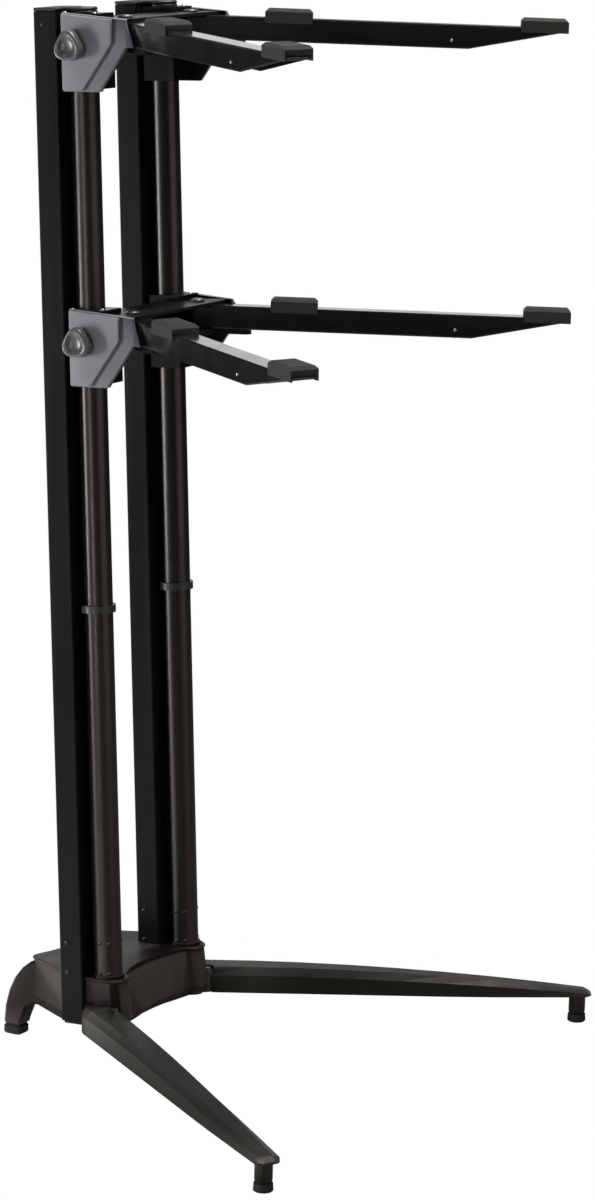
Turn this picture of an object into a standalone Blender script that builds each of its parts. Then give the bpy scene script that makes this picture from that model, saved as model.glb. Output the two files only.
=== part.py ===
# Column keyboard stand: two leaning columns on a cast base with two front legs
# and two rear claws, and two height-adjustable tiers with a pair of arms each.
# Units are metres, +Z is up, the arms and front legs point to -Y, and left is -X
# as seen by someone who stands at the front.
import bpy
import bmesh
from math import cos, pi, radians, sin
from mathutils import Matrix, Vector

MM = 0.001

# Clearances
SEAT = 0.3 * MM                 # between two pieces that rest on each other
SLIDE = 0.5 * MM                # between a sliding or turning piece and its guide
BORE_PLAY = 0.3 * MM            # around a pin or screw in its bore

# Columns, in a frame that leans back with them
LEAN = radians(3.0)
COLUMN_TOP = 1300 * MM
COLUMN_SPACING = 180 * MM
TUBE_RADIUS = 17.5 * MM
TUBE_WALL = 2.8 * MM
TUBE_FOOT = 62 * MM
CHANNEL_WIDTH = 60 * MM
CHANNEL_DEPTH = 32.5 * MM
CHANNEL_WALL = 2.5 * MM
CHANNEL_CORNER = 2.2 * MM
CHANNEL_GAP = 2.2 * MM          # between a tube and the channel behind it
CHANNEL_FOOT = 52 * MM
CAP_THICKNESS = 4 * MM
CAP_PLUG_DEPTH = 12 * MM
BRIDGE_HEIGHT = 26 * MM
BRIDGE_DEPTH = 22 * MM
BRIDGE_WALL = 3 * MM
BRIDGE_DROP = 12 * MM           # from the column top to the bridge's upper edge

# Tiers, measured along the columns from the axis of the clamp knobs
TIER_DROPS = {"upper": 41 * MM, "lower": 396 * MM}    # below the column top
JAW_TOP = 38 * MM
JAW_BOTTOM = -52 * MM
JAW_INNER_WALL = 6 * MM
JAW_OUTER_WALL = 4 * MM
JAW_REAR = 16 * MM
JAW_FRONT = -28 * MM
FORK_FRONT = -74 * MM
FORK_HALF_WIDTH = 111 * MM
CHEEK_THICKNESS = 1.7 * MM      # of the casting behind the front of each side plate
FORK_CORNER = 14 * MM
FORK_WEB = 4 * MM
SHELF_SET_IN = 11 * MM           # keeps the level shelf clear of the drooping arms
BEAM_REAR = -6 * MM
REST_WIDTH = 22 * MM
REST_NOSE = 7 * MM
REST_LENGTH = 66 * MM
REST_THICKNESS = 6.5 * MM
PLATE_THICKNESS = 5 * MM
PLATE_REAR = 14 * MM
PLATE_FRONT = -77 * MM
PLATE_TOP_REAR = 40 * MM
PLATE_TOP_FRONT = 32 * MM
PLATE_NOSE = -2 * MM
PLATE_HEEL = -38 * MM
PLATE_BOTTOM = -54 * MM
STOP_LENGTH = 24 * MM           # flared corner of the side plate that stops an open arm
CLAMP_PLATE_THICKNESS = 3.7 * MM
CLAMP_PLATE_BAND = 18 * MM      # width of the side plate that shows in front of it
KNOB_FORWARD = 5 * MM           # the knob axis lies this far in front of the tube's
KNOB_RADIUS = 17 * MM
KNOB_LOBE = 2.2 * MM
KNOB_NECK_RADIUS = 9 * MM
KNOB_NECK_LENGTH = 3 * MM
KNOB_BODY_LENGTH = 13 * MM
KNOB_DISH = 3.5 * MM
SCREW_RADIUS = 4 * MM
SCREW_IN_KNOB = 9 * MM
SHOE_RADIUS = 7 * MM

# Arms
ARM_SPACING = 148 * MM          # between the two pivot pins of a tier
ARM_PIVOT_FORWARD = 50 * MM
ARM_OPEN = radians(33.1)         # as far as the stops let an arm open
ARM_SPREADS = {"left": radians(33.1), "right": radians(29.0)}    # as they stand in the photo
ARM_DROOP = radians(3.1)        # below a line square to the columns
ARM_LENGTH = 458 * MM           # pivot to tip
ARM_WIDTH = 30 * MM
ARM_DEPTH = 29 * MM
ARM_TOP = 28 * MM
ARM_WALL = 2.5 * MM
ARM_EDGE_RADIUS = 4 * MM
ARM_ROOT_LENGTH = 26 * MM       # solid part ahead of the pivot
ARM_TAPER_LENGTH = 120 * MM
ARM_TIP_DEPTH = 4.5 * MM
ARM_TIP_SOLID = 10 * MM
PIN_RADIUS = 4.5 * MM
PIN_HEAD_RADIUS = 9 * MM
PIN_HEAD_HEIGHT = 3 * MM
PAD_INNER = 120 * MM            # pivot to the middle of the inner pad
PAD_OUTER_SETBACK = 26 * MM     # arm tip to the middle of the outer pad
PAD_LENGTH = 58 * MM
PAD_RISE = 11 * MM
PAD_LIP = 6 * MM
PAD_SIDE = 2.4 * MM

# Cable clips on the tubes
CLIP_HEIGHT_ON_COLUMN = 574 * MM
CLIP_BAND = 9 * MM
CLIP_THICKNESS = 3.2 * MM
CLIP_OPENING = radians(118)
CLIP_BEAD = 2.6 * MM

# Base casting
BASE_BOTTOM = 45 * MM
BASE_TOP = 104 * MM
BASE_REAR_CORNER = (74 * MM, 131 * MM)
BASE_REAR_MIDDLE = 117 * MM
BASE_CORNER_RADIUS = 7 * MM
BASE_WAIST = 112 * MM           # half width beside the channels, inside their faces
BASE_FRONT_MIDDLE = 6 * MM
BASE_APRON = 20 * MM            # the front leans forward by this much towards its foot
BASE_APRON_BOTTOM = 58 * MM
BASE_SKIRT = 4 * MM             # the underside is set in by this much
FRONT_POINTS = ((0, 0), (25 * MM, 1 * MM), (50 * MM, 5 * MM))
COLLAR_RADIUS = 20 * MM
COLLAR_HEIGHT = 4 * MM
SOCKET_FLOOR_TUBE = TUBE_FOOT - SEAT
SOCKET_FLOOR_CHANNEL = CHANNEL_FOOT - SEAT
SPIGOT_TOP = 165 * MM
POCKET_HALF_WIDTH = 50 * MM
POCKET_REAR = 104 * MM
POCKET_FRONT = 20 * MM
POCKET_ROOF = 94 * MM
PLATE_OVERHANG = 1.5 * MM
TOP_PLATE_THICKNESS = 4.5 * MM
CLAW_X = 62 * MM
CLAW_WIDTH = 25 * MM
REAR_PAD_HEIGHT = 12 * MM
REAR_PAD_LENGTH = 26 * MM
REAR_PAD_Y = 161 * MM

# Front legs
LEG_ORIGIN = (122 * MM, -5 * MM)    # a point on the leg's axis, beside the column's foot
LEG_SPREAD = radians(34.6)
LEG_REACH = 485.6 * MM          # from there to the axis of the foot post
LEG_SEAM = 2 * MM               # from there to the face where the leg meets its stub
LEG_NOSE = 8 * MM               # from the post's axis to where the rounded toe begins
STUB_BACK = 42 * MM
STUB_TOP = 75 * MM
STUB_BOTTOM = 42 * MM
HINGE_OFFSET = 14.5 * MM        # the pin stands this far inside the leg's axis
HINGE_EYE_RADIUS = 8.5 * MM
HINGE_EYE_HEIGHT = 11 * MM      # of the leg's eye between the stub's two
HINGE_EYE_SHOULDER = 68 * MM
LEG_ROOT_HALF_WIDTH = 21.5 * MM
LEG_TOE_HALF_WIDTH = 16 * MM
LEG_STATIONS = 8
LEG_TOE_TOP = 43.5 * MM
LEG_TOE_BOTTOM = 35.5 * MM
LEG_ROOT_FLAT = 0.74            # share of the width that is flat on top
LEG_TOE_FLAT = 0.46
LEG_SHOULDER = 0.30             # share of the height that slopes beside the flat
POST_RADIUS = 10.8 * MM
FOOT_CAP_RADIUS = 12 * MM
FOOT_CAP_HEIGHT = 10 * MM
FOOT_CAP_SOLE = 4 * MM

HALF_SPACING = COLUMN_SPACING / 2
TUBE_OUTLINE_SEGMENTS = 24
CHANNEL_FRONT = TUBE_RADIUS + CHANNEL_GAP
CHANNEL_REAR = CHANNEL_FRONT + CHANNEL_DEPTH
JAW_BORE = TUBE_RADIUS + SLIDE
JAW_FACE = HALF_SPACING + JAW_BORE + JAW_OUTER_WALL
SIDES = {"left": -1, "right": 1}


def clear_scene():
    for obj in list(bpy.data.objects):
        bpy.data.objects.remove(obj, do_unlink=True)


def make_material(name, colour, roughness, metallic=0.0):
    material = bpy.data.materials.new(name)
    material.use_nodes = True
    shader = material.node_tree.nodes["Principled BSDF"]
    shader.inputs["Base Color"].default_value = (*colour, 1.0)
    shader.inputs["Roughness"].default_value = roughness
    shader.inputs["Metallic"].default_value = metallic
    return material


def make_frame(name, parent=None, location=(0, 0, 0), rotation=(0, 0, 0)):
    frame = bpy.data.objects.new(name, None)
    bpy.context.scene.collection.objects.link(frame)
    frame.parent = parent
    frame.location = location
    frame.rotation_euler = rotation
    return frame


def make_object(name, bm):
    bmesh.ops.recalc_face_normals(bm, faces=bm.faces)
    mesh = bpy.data.meshes.new(name)
    bm.to_mesh(mesh)
    bm.free()
    obj = bpy.data.objects.new(name, mesh)
    bpy.context.scene.collection.objects.link(obj)
    return obj


def finish(obj, material, parent, location=(0, 0, 0), rotation=(0, 0, 0)):
    obj.data.materials.clear()
    obj.data.materials.append(material)
    obj.data.shade_smooth()
    obj.data.set_sharp_from_angle(angle=radians(35))
    obj.parent = parent
    obj.location = location
    obj.rotation_euler = rotation
    return obj


def settle(obj):
    """Turn the modifiers of an object into its mesh."""
    bpy.context.view_layer.update()
    evaluated = obj.evaluated_get(bpy.context.evaluated_depsgraph_get())
    mesh = bpy.data.meshes.new_from_object(evaluated)
    obj.modifiers.clear()
    obj.data = mesh
    return obj


def combine(obj, tool, operation):
    """Join a tool object to an object, or cut it out, and remove the tool."""
    modifier = obj.modifiers.new(operation.lower(), "BOOLEAN")
    modifier.operation = operation
    modifier.solver = "EXACT"
    modifier.object = tool
    settle(obj)
    bpy.data.objects.remove(tool, do_unlink=True)
    return obj


def cut(obj, *tools):
    for tool in tools:
        combine(obj, tool, "DIFFERENCE")
    return obj


def join(obj, *tools):
    for tool in tools:
        combine(obj, tool, "UNION")
    return obj


def bevel(obj, width, segments=1, angle=50):
    modifier = obj.modifiers.new("bevel", "BEVEL")
    modifier.width = width
    modifier.segments = segments
    modifier.limit_method = "ANGLE"
    modifier.angle_limit = radians(angle)
    modifier.use_clamp_overlap = True
    return settle(obj)


def arc(centre, radius, start, end, steps):
    """Points on an arc, angles in degrees from +X towards +Y."""
    points = []
    for i in range(steps + 1):
        angle = radians(start + (end - start) * i / steps)
        points.append((centre[0] + radius * cos(angle), centre[1] + radius * sin(angle)))
    return points


def rounded_box_outline(low, high, radius, steps=3):
    """Outline of a rectangle with round corners, counter-clockwise."""
    points = []
    corners = (((high[0], high[1]), 0), ((low[0], high[1]), 90), ((low[0], low[1]), 180), ((high[0], low[1]), 270))
    for (x, y), start in corners:
        centre = (x - radius if x == high[0] else x + radius, y - radius if y == high[1] else y + radius)
        points += arc(centre, radius, start, start + 90, steps)
    return points


def mirrored(points, side):
    """An outline drawn for the right side, for the given side."""
    return [(x * side, y) for x, y in points]


AXES = {
    "Z": lambda a, b, h: (a, b, h),
    "X": lambda a, b, h: (h, a, b),
    "Y": lambda a, b, h: (a, h, b),
}


def prism(name, outline, low, high, along="Z"):
    """A closed solid from an outline, extruded along one axis."""
    place = AXES[along]
    bm = bmesh.new()
    bottom = [bm.verts.new(place(a, b, low)) for a, b in outline]
    top = [bm.verts.new(place(a, b, high)) for a, b in outline]
    bm.faces.new(bottom)
    bm.faces.new(top)
    for i in range(len(outline)):
        j = (i + 1) % len(outline)
        bm.faces.new((bottom[i], bottom[j], top[j], top[i]))
    return make_object(name, bm)


def hollow_prism(name, outer, inner, low, high):
    """A closed pipe from two outlines with equally many points."""
    bm = bmesh.new()
    loops = []
    for outline, height in ((outer, low), (outer, high), (inner, high), (inner, low)):
        loops.append([bm.verts.new((x, y, height)) for x, y in outline])
    for i in range(4):
        near, far = loops[i], loops[(i + 1) % 4]
        for j in range(len(near)):
            k = (j + 1) % len(near)
            bm.faces.new((near[j], near[k], far[k], far[j]))
    return make_object(name, bm)


def box(name, low, high):
    return prism(name, [(low[0], low[1]), (high[0], low[1]), (high[0], high[1]), (low[0], high[1])], low[2], high[2])


def lathe(name, profile, steps=32, along="Z"):
    """A closed solid turned from (radius, height) points that start and end on the axis."""
    place = AXES[along]
    bm = bmesh.new()
    rings = []
    for radius, height in profile:
        if radius == 0:
            rings.append([bm.verts.new(place(0, 0, height))])
            continue
        rings.append([bm.verts.new(place(radius * cos(2 * pi * i / steps), radius * sin(2 * pi * i / steps), height))
                      for i in range(steps)])
    for near, far in zip(rings, rings[1:]):
        for i in range(steps):
            j = (i + 1) % steps
            corners = [near[i % len(near)], near[j % len(near)], far[j % len(far)], far[i % len(far)]]
            bm.faces.new(list(dict.fromkeys(corners)))
    return make_object(name, bm)


def cylinder(name, radius, low, high, steps=32, along="Z"):
    return lathe(name, [(0, low), (radius, low), (radius, high), (0, high)], steps, along)


def loft(name, sections):
    """A closed solid through sections with equally many points."""
    bm = bmesh.new()
    rings = [[bm.verts.new(point) for point in section] for section in sections]
    bm.faces.new(rings[0])
    bm.faces.new(rings[-1])
    for near, far in zip(rings, rings[1:]):
        for i in range(len(near)):
            j = (i + 1) % len(near)
            bm.faces.new((near[i], near[j], far[j], far[i]))
    bmesh.ops.triangulate(bm, faces=bm.faces)
    return make_object(name, bm)


def moved(obj, offset):
    obj.data.transform(Matrix.Translation(offset))
    return obj


def leaned(obj):
    """Turn a tool that is drawn in the columns' frame into the base's frame."""
    obj.data.transform(Matrix.Rotation(-LEAN, 4, "X"))
    return obj


def channel_outline(inset):
    low = (HALF_SPACING - CHANNEL_WIDTH / 2 + inset, CHANNEL_FRONT + inset)
    high = (HALF_SPACING + CHANNEL_WIDTH / 2 - inset, CHANNEL_REAR - inset)
    return rounded_box_outline(low, high, max(CHANNEL_CORNER - inset, 0.4 * MM))


def tube_outline(radius):
    return arc((HALF_SPACING, 0), radius, 0, 360 - 360 / TUBE_OUTLINE_SEGMENTS, TUBE_OUTLINE_SEGMENTS - 1)


def build_columns(frame, black, cap_black):
    for word, side in SIDES.items():
        tube = hollow_prism(word + "_column_tube", mirrored(tube_outline(TUBE_RADIUS), side),
                            mirrored(tube_outline(TUBE_RADIUS - TUBE_WALL), side), TUBE_FOOT, COLUMN_TOP)
        finish(tube, black, frame)
        channel = hollow_prism(word + "_column_channel", mirrored(channel_outline(0), side),
                               mirrored(channel_outline(CHANNEL_WALL), side), CHANNEL_FOOT, COLUMN_TOP)
        finish(channel, black, frame)
        build_column_cap(word, side, frame, cap_black)
    build_bridge(frame, black)


def build_column_cap(word, side, frame, material):
    inner = HALF_SPACING - CHANNEL_WIDTH / 2
    outer = HALF_SPACING + CHANNEL_WIDTH / 2
    outline = [(outer, CHANNEL_FRONT), (outer, CHANNEL_REAR), (inner, CHANNEL_REAR), (inner, CHANNEL_FRONT)]
    outline += [(HALF_SPACING - TUBE_RADIUS, CHANNEL_FRONT)]
    outline += arc((HALF_SPACING, 0), TUBE_RADIUS, 180, 360, 10)
    outline += [(HALF_SPACING + TUBE_RADIUS, CHANNEL_FRONT)]
    low = COLUMN_TOP + SEAT
    cap = prism(word + "_column_cap", mirrored(outline, side), low, low + CAP_THICKNESS)
    bevel(cap, 1.2 * MM)
    plug_low = COLUMN_TOP - CAP_PLUG_DEPTH
    plug_top = low + CAP_THICKNESS / 2
    channel_plug = prism("channel_plug", mirrored(channel_outline(CHANNEL_WALL + SEAT), side), plug_low, plug_top)
    tube_plug = prism("tube_plug", mirrored(tube_outline(TUBE_RADIUS - TUBE_WALL - SEAT), side), plug_low, plug_top)
    join(cap, channel_plug, tube_plug)
    finish(cap, material, frame)


def build_bridge(frame, material):
    half = HALF_SPACING - CHANNEL_WIDTH / 2 - SEAT
    top = COLUMN_TOP - BRIDGE_DROP
    middle = (CHANNEL_FRONT + CHANNEL_REAR) / 2
    front = middle - BRIDGE_DEPTH / 2
    rear = middle + BRIDGE_DEPTH / 2
    bottom = top - BRIDGE_HEIGHT
    wall = BRIDGE_WALL
    outline = [(rear, top), (front, top), (front, bottom), (rear, bottom), (rear, bottom + wall),
               (front + wall, bottom + wall), (front + wall, top - wall), (rear, top - wall)]
    bridge = prism("top_bridge", outline, -half, half, "X")
    finish(bridge, material, frame)


def jaw_outline():
    """A clamp jaw that reaches round the front of the right tube, open to the rear."""
    inner = HALF_SPACING - JAW_BORE - JAW_INNER_WALL
    slot = arc((HALF_SPACING, 0), JAW_BORE, 180, 360, 14)
    return [(inner, JAW_REAR), (inner, JAW_FRONT), (JAW_FACE, JAW_FRONT), (JAW_FACE, JAW_REAR),
            (HALF_SPACING + JAW_BORE, JAW_REAR)] + slot[::-1] + [(HALF_SPACING - JAW_BORE, JAW_REAR)]


def fork_outline(half):
    corner = FORK_CORNER
    points = [(-half, JAW_FRONT + 2 * MM)]
    points += arc((-half + corner, FORK_FRONT + corner), corner, 180, 270, 3)
    points += arc((half - corner, FORK_FRONT + corner), corner, 270, 360, 3)
    return points + [(half, JAW_FRONT + 2 * MM)]


def build_rest(side, low, high):
    """The tongue of the fork under an open arm: it slopes as the arm does."""
    half = REST_WIDTH / 2
    sections = []
    for along, width in ((0, half), (ARM_ROOT_LENGTH, half), (REST_LENGTH - REST_NOSE, half),
                         (REST_LENGTH, half - REST_NOSE * 0.7)):
        drop = arm_drop(along)
        sections.append([(-width, -along, low - drop), (width, -along, low - drop), (width, -along, high - drop),
                         (-width, -along, high - drop)])
    rest = loft("rest", sections)
    place = Matrix.Translation((side * ARM_SPACING / 2, -ARM_PIVOT_FORWARD, 0))
    rest.data.transform(place @ Matrix.Rotation(side * ARM_OPEN, 4, "Z"))
    return rest


def cheek_outline():
    """The casting behind the side plate, as far forward as the plate."""
    return [(JAW_REAR, PLATE_BOTTOM), (JAW_REAR, JAW_TOP), (PLATE_FRONT, PLATE_TOP_FRONT),
            (PLATE_FRONT, PLATE_NOSE), (PLATE_HEEL, PLATE_BOTTOM)]


def build_carriage(tier, frame, material):
    arm_bottom = ARM_TOP - ARM_DEPTH
    web_low = ARM_TOP + SEAT
    shelf_high = arm_bottom - SEAT
    shelf_low = shelf_high - REST_THICKNESS
    carriage = prism("tier_" + tier + "_carriage", jaw_outline(), JAW_BOTTOM, JAW_TOP)
    left_jaw = prism("left_jaw", mirrored(jaw_outline(), -1), JAW_BOTTOM, JAW_TOP)
    inner = HALF_SPACING - JAW_BORE - JAW_INNER_WALL
    beam = box("beam", (-inner - 1 * MM, JAW_FRONT, shelf_low), (inner + 1 * MM, BEAM_REAR, web_low + FORK_WEB))
    relief = box("relief", (-inner + 6 * MM, JAW_FRONT + 5 * MM, shelf_low - 1 * MM),
                 (inner - 6 * MM, BEAM_REAR - 5 * MM, web_low - 2 * MM))
    cut(beam, relief)
    top_web = prism("top_web", fork_outline(FORK_HALF_WIDTH), web_low, web_low + FORK_WEB)
    shelf = prism("shelf", fork_outline(FORK_HALF_WIDTH - SHELF_SET_IN), shelf_low, shelf_high)
    join(carriage, beam, left_jaw, top_web, shelf)
    for side in SIDES.values():
        span = sorted((side * (JAW_FACE - CHEEK_THICKNESS), side * JAW_FACE))
        join(carriage, build_rest(side, shelf_low, shelf_high), prism("cheek", cheek_outline(), *span, "X"))
    for side in SIDES.values():
        bore = cylinder("bore", PIN_RADIUS + BORE_PLAY, JAW_BOTTOM, JAW_TOP + 10 * MM, 16)
        cut(carriage, moved(bore, (side * ARM_SPACING / 2, -ARM_PIVOT_FORWARD, 0)))
        hole = cylinder("shoe_hole", SHOE_RADIUS + BORE_PLAY, HALF_SPACING, JAW_FACE + 1 * MM, 16, "X")
        hole.data.transform(Matrix.Scale(side, 4, (1, 0, 0)))
        hole.data.flip_normals() if side < 0 else None
        cut(carriage, moved(hole, (0, -KNOB_FORWARD, 0)))
    finish(carriage, material, frame)


def side_plate_outline():
    return [(PLATE_REAR, PLATE_BOTTOM), (PLATE_REAR, PLATE_TOP_REAR), (PLATE_FRONT, PLATE_TOP_FRONT),
            (PLATE_FRONT, PLATE_NOSE), (PLATE_HEEL, PLATE_BOTTOM)]


def clamp_plate_outline():
    """The raised plate inside the side plate: its front and slanted edges are set back."""
    margin = 1.5 * MM
    band = CLAMP_PLATE_BAND
    slope = (PLATE_TOP_REAR - PLATE_TOP_FRONT) / (PLATE_REAR - PLATE_FRONT)
    front = PLATE_FRONT + band
    slant = Vector((PLATE_HEEL - PLATE_FRONT, PLATE_BOTTOM - PLATE_NOSE))
    shift = band * slant.length / abs(slant.y)
    top_front = PLATE_TOP_FRONT + slope * band - margin
    nose = PLATE_NOSE + (shift - band) * abs(slant.y) / slant.x
    heel = PLATE_HEEL + shift + margin * slant.x / slant.y
    rear = PLATE_REAR - margin
    return [(rear, PLATE_BOTTOM + margin), (rear, PLATE_TOP_REAR - margin), (front, top_front), (front, nose),
            (heel, PLATE_BOTTOM + margin)]


def plate_with_hole(name, outline, side, low, high, hole_radius, edge):
    span = sorted((side * low, side * high))
    plate = prism(name, outline, span[0], span[1], "X")
    bevel(plate, edge)
    hole = cylinder("hole", hole_radius, span[0] - 1 * MM, span[1] + 1 * MM, 16, "X")
    cut(plate, moved(hole, (0, -KNOB_FORWARD, 0)))
    return plate


def build_arm_stop(side, inner, outer):
    """The triangular corner at the front of a side plate, bent outward beside the open arm."""
    top = PLATE_TOP_FRONT - 1 * MM
    low = PLATE_NOSE + 1 * MM
    out = STOP_LENGTH * sin(ARM_OPEN)
    ahead = STOP_LENGTH * cos(ARM_OPEN)
    root = PLATE_FRONT + 2 * MM
    middle = (inner + outer) / 2
    bm = bmesh.new()
    points = [(inner, root, low), (inner, root, top), (outer, root, top), (outer, root, low),
              (middle + out, root - ahead, low), (outer + out, root - ahead, low)]
    v = [bm.verts.new((side * x, y, z)) for x, y, z in points]
    for corners in ((0, 1, 2, 3), (0, 4, 1), (2, 5, 3), (1, 4, 5, 2), (0, 3, 5, 4)):
        bm.faces.new([v[i] for i in corners])
    return make_object("arm_stop", bm)


def knob_radius(angle):
    """Three soft lobes, one of them pointing up."""
    return KNOB_RADIUS + KNOB_LOBE * cos(3 * (angle - pi / 2))


def build_knob(name, material, frame):
    """Drawn with its screw axis along +X from the face that the neck stands on."""
    steps = 24
    neck_end = KNOB_NECK_LENGTH
    rim = neck_end + KNOB_BODY_LENGTH
    rings = [(0, KNOB_NECK_RADIUS, 0), (neck_end, KNOB_NECK_RADIUS, 0)]
    rings += [(neck_end + 0.1 * MM, 0.90, 1), (neck_end + 2 * MM, 1.0, 1), (rim - 2.5 * MM, 1.0, 1), (rim, 0.90, 1)]
    rings += [(rim, 0.80, 1), (rim - KNOB_DISH * 0.55, 0.68, 0.6), (rim - KNOB_DISH, 0.40, 0), (rim - KNOB_DISH, 0.12, 0)]
    sections = []
    for x, size, lobed in rings:
        section = []
        for i in range(steps):
            angle = 2 * pi * i / steps
            soft = KNOB_RADIUS + (knob_radius(angle) - KNOB_RADIUS) * lobed
            radius = size if x <= neck_end else soft * size
            section.append((x, radius * cos(angle), radius * sin(angle)))
        sections.append(section)
    knob = loft(name, sections)
    bore = cylinder("bore", SCREW_RADIUS + BORE_PLAY, -1 * MM, SCREW_IN_KNOB + SEAT, 16, "X")
    cut(knob, bore)
    finish(knob, material, frame)


def build_clamp(tier, word, side, frame, materials):
    """Side plate, clamp plate, shoe, screw and knob on the outer side of one tube."""
    label = "tier_" + tier + "_" + word
    plate_in = JAW_FACE + SEAT
    plate_out = plate_in + PLATE_THICKNESS
    clamp_in = plate_out + SEAT
    clamp_out = clamp_in + CLAMP_PLATE_THICKNESS
    bore = SCREW_RADIUS + BORE_PLAY
    side_plate = plate_with_hole(label + "_side_plate", side_plate_outline(), side, plate_in, plate_out, bore,
                                 0.8 * MM)
    join(side_plate, build_arm_stop(side, plate_in, plate_out))
    finish(side_plate, materials["plate"], frame)
    clamp_plate = plate_with_hole(label + "_clamp_plate", clamp_plate_outline(), side, clamp_in, clamp_out, bore,
                                  1.0 * MM)
    finish(clamp_plate, materials["plate"], frame)
    turn = (0, 0, 0) if side > 0 else (0, 0, pi)
    place = (side * HALF_SPACING, -KNOB_FORWARD, 0)
    shoe_in = TUBE_RADIUS + SEAT
    shoe_out = JAW_FACE - HALF_SPACING
    shoe = cylinder(label + "_clamp_shoe", SHOE_RADIUS, shoe_in, shoe_out - 0.1 * MM, 16, "X")
    finish(shoe, materials["shoe"], frame, place, turn)
    axis = make_frame("axis_" + label + "_knob", frame, place, turn)
    knob_face = clamp_out + SEAT - HALF_SPACING
    screw = cylinder(label + "_clamp_screw", SCREW_RADIUS, shoe_out + SEAT, knob_face + SCREW_IN_KNOB, 16, "X")
    finish(screw, materials["steel"], axis)
    knob_frame = make_frame("face_" + label + "_knob", axis, (knob_face, 0, 0))
    build_knob(label + "_knob", materials["knob"], knob_frame)


def arm_drop(along):
    """How far the arm has dropped below its root at a distance from the pivot."""
    return max(0.0, along - ARM_ROOT_LENGTH) * sin(ARM_DROOP) / cos(ARM_DROOP)


def build_arm(name, material, axis):
    """Drawn along -Y from its pivot: a channel that is open below, with a solid root and tip."""
    half = ARM_WIDTH / 2
    top = ARM_TOP
    bottom = ARM_TOP - ARM_DEPTH
    taper = ARM_LENGTH - ARM_TAPER_LENGTH
    profile = [(half, bottom), (half, top), (-ARM_ROOT_LENGTH, top), (-ARM_LENGTH, top - arm_drop(ARM_LENGTH)),
               (-ARM_LENGTH, top - arm_drop(ARM_LENGTH) - ARM_TIP_DEPTH), (-taper, bottom - arm_drop(taper)),
               (-ARM_ROOT_LENGTH, bottom)]
    arm = prism(name, profile, -half, half, "X")
    bevel(arm, ARM_EDGE_RADIUS * 0.5, 2, 80)
    rounding = prism("rounding", arc((0, 0), half, 0, 180, 10) + [(-half, -ARM_LENGTH - half),
                     (half, -ARM_LENGTH - half)], bottom - ARM_DEPTH - 30 * MM, top + 5 * MM)
    combine(arm, rounding, "INTERSECT")
    inner = half - ARM_WALL
    start = ARM_ROOT_LENGTH
    end = ARM_LENGTH - ARM_TIP_SOLID
    low = bottom - arm_drop(ARM_LENGTH) - 5 * MM
    hollow_profile = [(-start, low), (-start, top - ARM_WALL), (-end, top - ARM_WALL - arm_drop(end)), (-end, low)]
    cut(arm, prism("hollow", hollow_profile, -inner, inner, "X"))
    cut(arm, cylinder("bore", PIN_RADIUS + BORE_PLAY, bottom - 2 * MM, top + 2 * MM, 16))
    finish(arm, material, axis)


def build_pad(name, along, material, axis):
    """A rubber cap that grips over the arm's top edges."""
    inner = ARM_WIDTH / 2 + SEAT
    outer = inner + PAD_SIDE
    crown = 3 * MM
    profile = [(-outer, -PAD_LIP), (-inner, -PAD_LIP), (-inner, SEAT), (inner, SEAT), (inner, -PAD_LIP),
               (outer, -PAD_LIP), (outer, PAD_RISE - crown), (outer - crown, PAD_RISE), (crown - outer, PAD_RISE),
               (-outer, PAD_RISE - crown)]
    pad = prism(name, profile, -PAD_LENGTH / 2, PAD_LENGTH / 2, "Y")
    chamfer = 4 * MM
    for end in (-1, 1):
        wedge = [(end * (PAD_LENGTH / 2 + 1 * MM), PAD_RISE + 1 * MM),
                 (end * (PAD_LENGTH / 2 - chamfer - 1 * MM), PAD_RISE + 1 * MM),
                 (end * (PAD_LENGTH / 2 + 1 * MM), PAD_RISE - chamfer - 1 * MM)]
        cut(pad, prism("wedge", wedge, -outer - 1 * MM, outer + 1 * MM, "X"))
    finish(pad, material, axis, (0, -along, ARM_TOP - arm_drop(along)), (ARM_DROOP, 0, 0))


def build_arms(tier, word, side, frame, materials):
    label = "tier_" + tier + "_" + word
    place = (side * ARM_SPACING / 2, -ARM_PIVOT_FORWARD, 0)
    axis = make_frame("axis_" + label + "_arm", frame, place, (0, 0, side * ARM_SPREADS[word]))
    build_arm(label + "_arm", materials["arm"], axis)
    for position, along in (("inner", PAD_INNER), ("outer", ARM_LENGTH - PAD_OUTER_SETBACK)):
        build_pad(label + "_pad_" + position, along, materials["rubber"], axis)
    low = ARM_TOP - ARM_DEPTH - SEAT - REST_THICKNESS
    high = ARM_TOP + SEAT + FORK_WEB
    head = PIN_HEAD_HEIGHT
    profile = [(0, low - SEAT - head), (PIN_HEAD_RADIUS * 0.8, low - SEAT - head),
               (PIN_HEAD_RADIUS * 0.8, low - SEAT), (PIN_RADIUS, low - SEAT), (PIN_RADIUS, high + SEAT),
               (PIN_HEAD_RADIUS, high + SEAT), (PIN_HEAD_RADIUS, high + SEAT + head * 0.5),
               (PIN_HEAD_RADIUS * 0.75, high + SEAT + head), (0, high + SEAT + head)]
    pin = lathe(label + "_arm_pin", profile, 12)
    finish(pin, materials["steel"], frame, place)


def build_tiers(columns, materials):
    for tier, drop in TIER_DROPS.items():
        frame = make_frame("axis_tier_" + tier, columns, (0, 0, COLUMN_TOP - drop))
        build_carriage(tier, frame, materials["black"])
        for word, side in SIDES.items():
            build_clamp(tier, word, side, frame, materials)
            build_arms(tier, word, side, frame, materials)


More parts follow.
